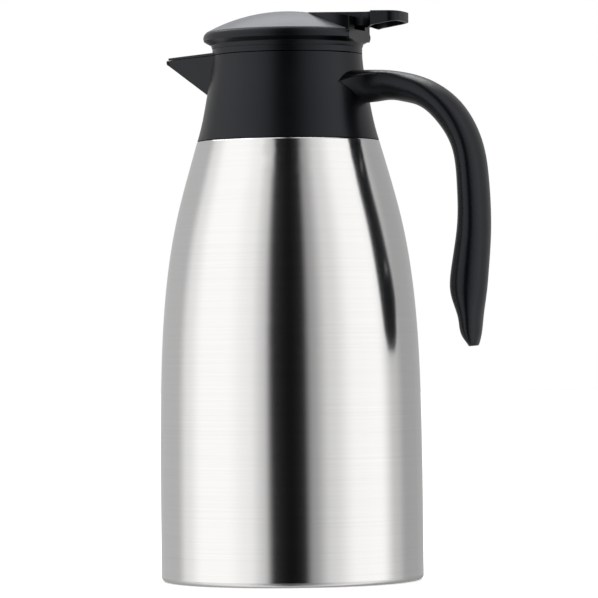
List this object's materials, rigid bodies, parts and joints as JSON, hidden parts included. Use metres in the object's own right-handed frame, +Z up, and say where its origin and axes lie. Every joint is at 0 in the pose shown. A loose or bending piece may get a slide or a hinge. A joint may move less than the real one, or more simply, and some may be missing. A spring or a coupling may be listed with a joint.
{
  "type": "thermal coffee carafe",
  "caption": "Tall double-wall steel vacuum carafe with a black pouring collar, open C-shaped handle and a turn-off lid whose press lever lifts the pour valve.",
  "frame": {"origin": "centre of the foot ring, on the surface that the carafe stands on", "axes": "+Z up along the flask's axis, +X towards the handle, -X towards the spout"},
  "size_m": [0.1789, 0.138, 0.2994],
  "materials": {
    "brushed_steel_wall": "fine brushing round the body",
    "bare_steel": "plain drawn steel, satin",
    "zinc_plated_steel": "plated fasteners",
    "black_plastic": "satin moulded polypropylene",
    "lever_plastic": "satin moulded plastic",
    "satin_grey_plastic": "satin dark grey moulding",
    "clear_silicone": "milky silicone",
    "spring_wire": "bright stainless wire"
  },
  "bodies": {
    "flask": {"outer_shell": "brushed_steel_wall", "outer_base": "bare_steel", "shell_neck": "bare_steel", "liner_body": "bare_steel", "liner_shoulder": "bare_steel", "liner_neck": "bare_steel", "inner_bottom": "bare_steel", "getter_capsule": "zinc_plated_steel", "vacuum_port_plug": "zinc_plated_steel", "vacuum_port_cover": "bare_steel", "collar": "black_plastic", "neck_gasket": "clear_silicone", "collar_clamp_ring": "black_plastic", "handle_shell": "black_plastic", "handle_cover": "black_plastic", "handle_screws": "zinc_plated_steel", "handle_root_screw": "zinc_plated_steel"},
    "lid_seal": {"lid_gasket": "clear_silicone"},
    "lid": {"lid_base": "black_plastic", "lid_cover": "black_plastic", "lid_dome": "satin_grey_plastic", "lid_screws": "zinc_plated_steel", "stopper_body": "black_plastic", "valve_seat": "black_plastic", "valve_spring": "spring_wire", "lever_pin": "spring_wire"},
    "lever": {"lever": "lever_plastic"},
    "valve": {"valve_stem": "black_plastic", "valve_head": "black_plastic", "valve_seal": "clear_silicone", "stem_cap": "black_plastic"}
  },
  "joints": [
    {"name": "lid_lift", "type": "slide", "parent": "flask", "child": "lid_seal", "axis": [0, 0, 1], "range_m": [0, 0.09]},
    {"name": "lid_turn", "type": "hinge", "parent": "lid_seal", "child": "lid", "pos_m": [0, 0, 0.249], "axis": [0, 0, 1], "range_deg": [0, 60]},
    {"name": "lever_press", "type": "hinge", "parent": "lid", "child": "lever", "pos_m": [0.0305, 0, 0.293], "axis": [0, 1, 0], "range_deg": [0, 8], "stiffness_Nm_per_rad": 0.6, "springref_deg": -6.88},
    {"name": "valve_lift", "type": "slide", "parent": "lid", "child": "valve", "axis": [0, 0, 1], "range_m": [0, 0.0045], "deforming": ["valve_spring"]}
  ],
  "couplings": [
    {"joint": "valve_lift", "follows": "lever_press", "m_per_rad": 0.0305}
  ]
}
